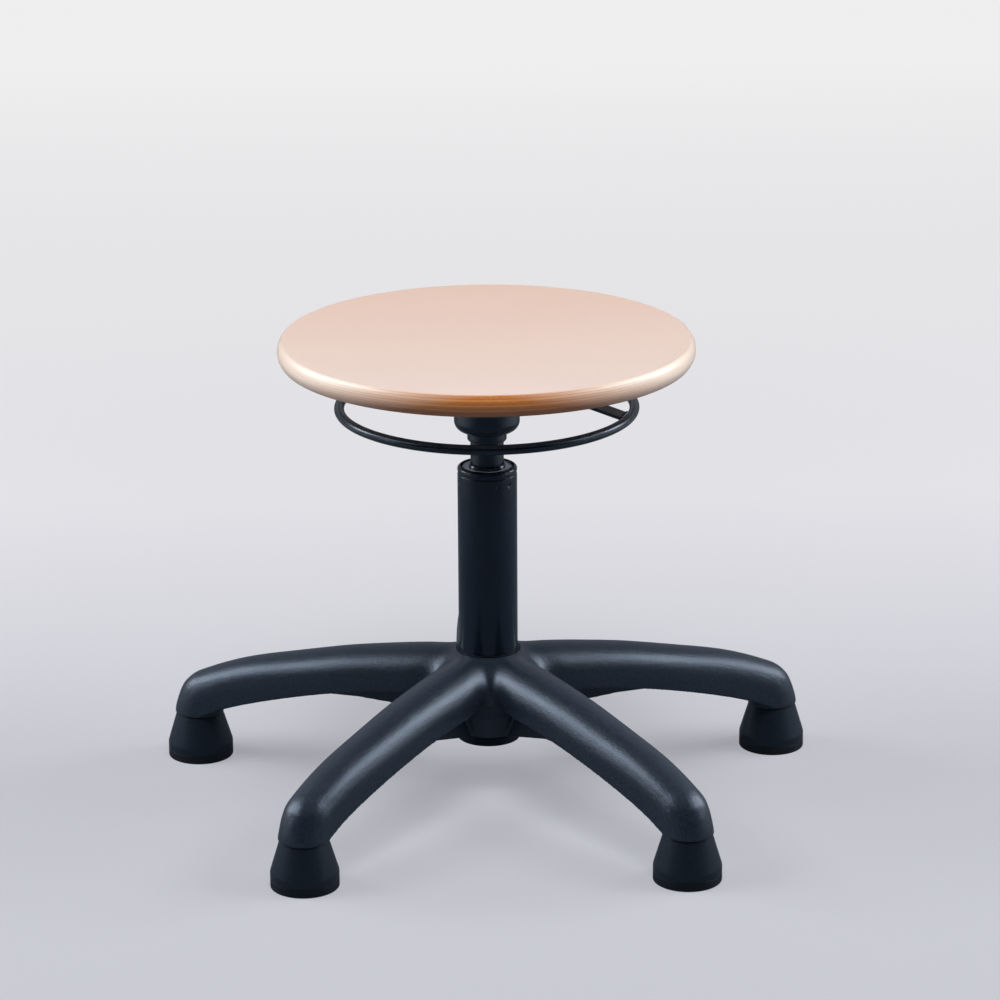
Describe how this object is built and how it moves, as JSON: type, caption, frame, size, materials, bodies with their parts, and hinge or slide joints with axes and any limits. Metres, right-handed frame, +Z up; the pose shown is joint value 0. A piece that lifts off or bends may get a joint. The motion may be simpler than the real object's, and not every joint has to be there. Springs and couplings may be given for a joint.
{
  "type": "adjustable stool",
  "caption": "Round plywood seat on a gas lift that a ring handle under the seat releases, on a low moulded star base with glides.",
  "frame": {"origin": "on the column's axis at floor level", "axes": "+Z up along the column; +Y through the middle of glide_1"},
  "size_m": [0.556, 0.5316, 0.3973],
  "materials": {
    "plywood": "clear satin lacquer",
    "black_paint": "black semi-gloss powder coat",
    "dark_plastic": "fine moulded texture, satin",
    "grey_plastic": "smooth",
    "black_rubber": "matte",
    "dark_steel": "dark coat",
    "zinc_steel": "zinc plated",
    "bright_steel": "ground",
    "aluminium": "machined"
  },
  "bodies": {
    "base": {"base_star": "dark_plastic", "hub_sleeve": "dark_steel", "stand_tube": "black_paint", "guide_bush": "grey_plastic", "wiper_ring": "black_rubber", "bottom_plate": "dark_steel", "bearing_race_lower": "zinc_steel", "glide_1": "dark_plastic", "glide_2": "dark_plastic", "glide_3": "dark_plastic", "glide_4": "dark_plastic", "glide_5": "dark_plastic", "sole_1": "black_rubber", "sole_2": "black_rubber", "sole_3": "black_rubber", "sole_4": "black_rubber", "sole_5": "black_rubber", "glide_pins": "zinc_steel", "grip_rings": "zinc_steel"},
    "spindle": {"piston_rod": "bright_steel", "piston": "aluminium", "piston_ring": "black_rubber", "bearing_race_upper": "zinc_steel", "buffer": "black_rubber", "rod_washer": "zinc_steel", "rod_clip": "dark_steel"},
    "column": {"pressure_tube": "black_paint", "inner_cylinder": "bright_steel", "valve_body": "aluminium", "valve_seal": "black_rubber", "rod_guide": "grey_plastic", "rod_seal": "black_rubber", "cone_socket": "black_paint", "cup_housing": "black_paint", "fulcrum_ring": "black_paint", "seat_plate": "black_paint", "seat_screws": "zinc_steel", "screw_washers": "zinc_steel", "seat_inserts": "zinc_steel", "seat_panel": "plywood"},
    "ring_lever": {"rocker_plate": "black_paint", "ring_handle": "black_paint"},
    "release_pin": {"release_button": "zinc_steel"},
    "bearing_cage": {"ball_cage": "grey_plastic", "bearing_balls": "bright_steel"}
  },
  "joints": [
    {"name": "swivel", "type": "hinge", "parent": "base", "child": "spindle", "pos_m": [0, 0, 0.06], "axis": [0, 0, 1], "continuous": true},
    {"name": "lift", "type": "slide", "parent": "spindle", "child": "column", "axis": [0, 0, 1], "range_m": [0, 0.13]},
    {"name": "tilt", "type": "hinge", "parent": "column", "child": "ring_lever", "pos_m": [0.02129, -0.00729, 0.3668], "axis": [-0.3239, -0.9461, 0], "range_deg": [0, 6], "stiffness_Nm_per_rad": 3, "springref_deg": -28.65},
    {"name": "button_press", "type": "slide", "parent": "column", "child": "release_pin", "axis": [0, 0, -1], "range_m": [0, 0.0024]},
    {"name": "cage_turn", "type": "hinge", "parent": "base", "child": "bearing_cage", "pos_m": [0, 0, 0.057], "axis": [0, 0, 1], "continuous": true}
  ],
  "couplings": [
    {"joint": "button_press", "follows": "tilt", "m_per_rad": 0.0225},
    {"joint": "cage_turn", "follows": "swivel", "ratio": 0.5}
  ]
}
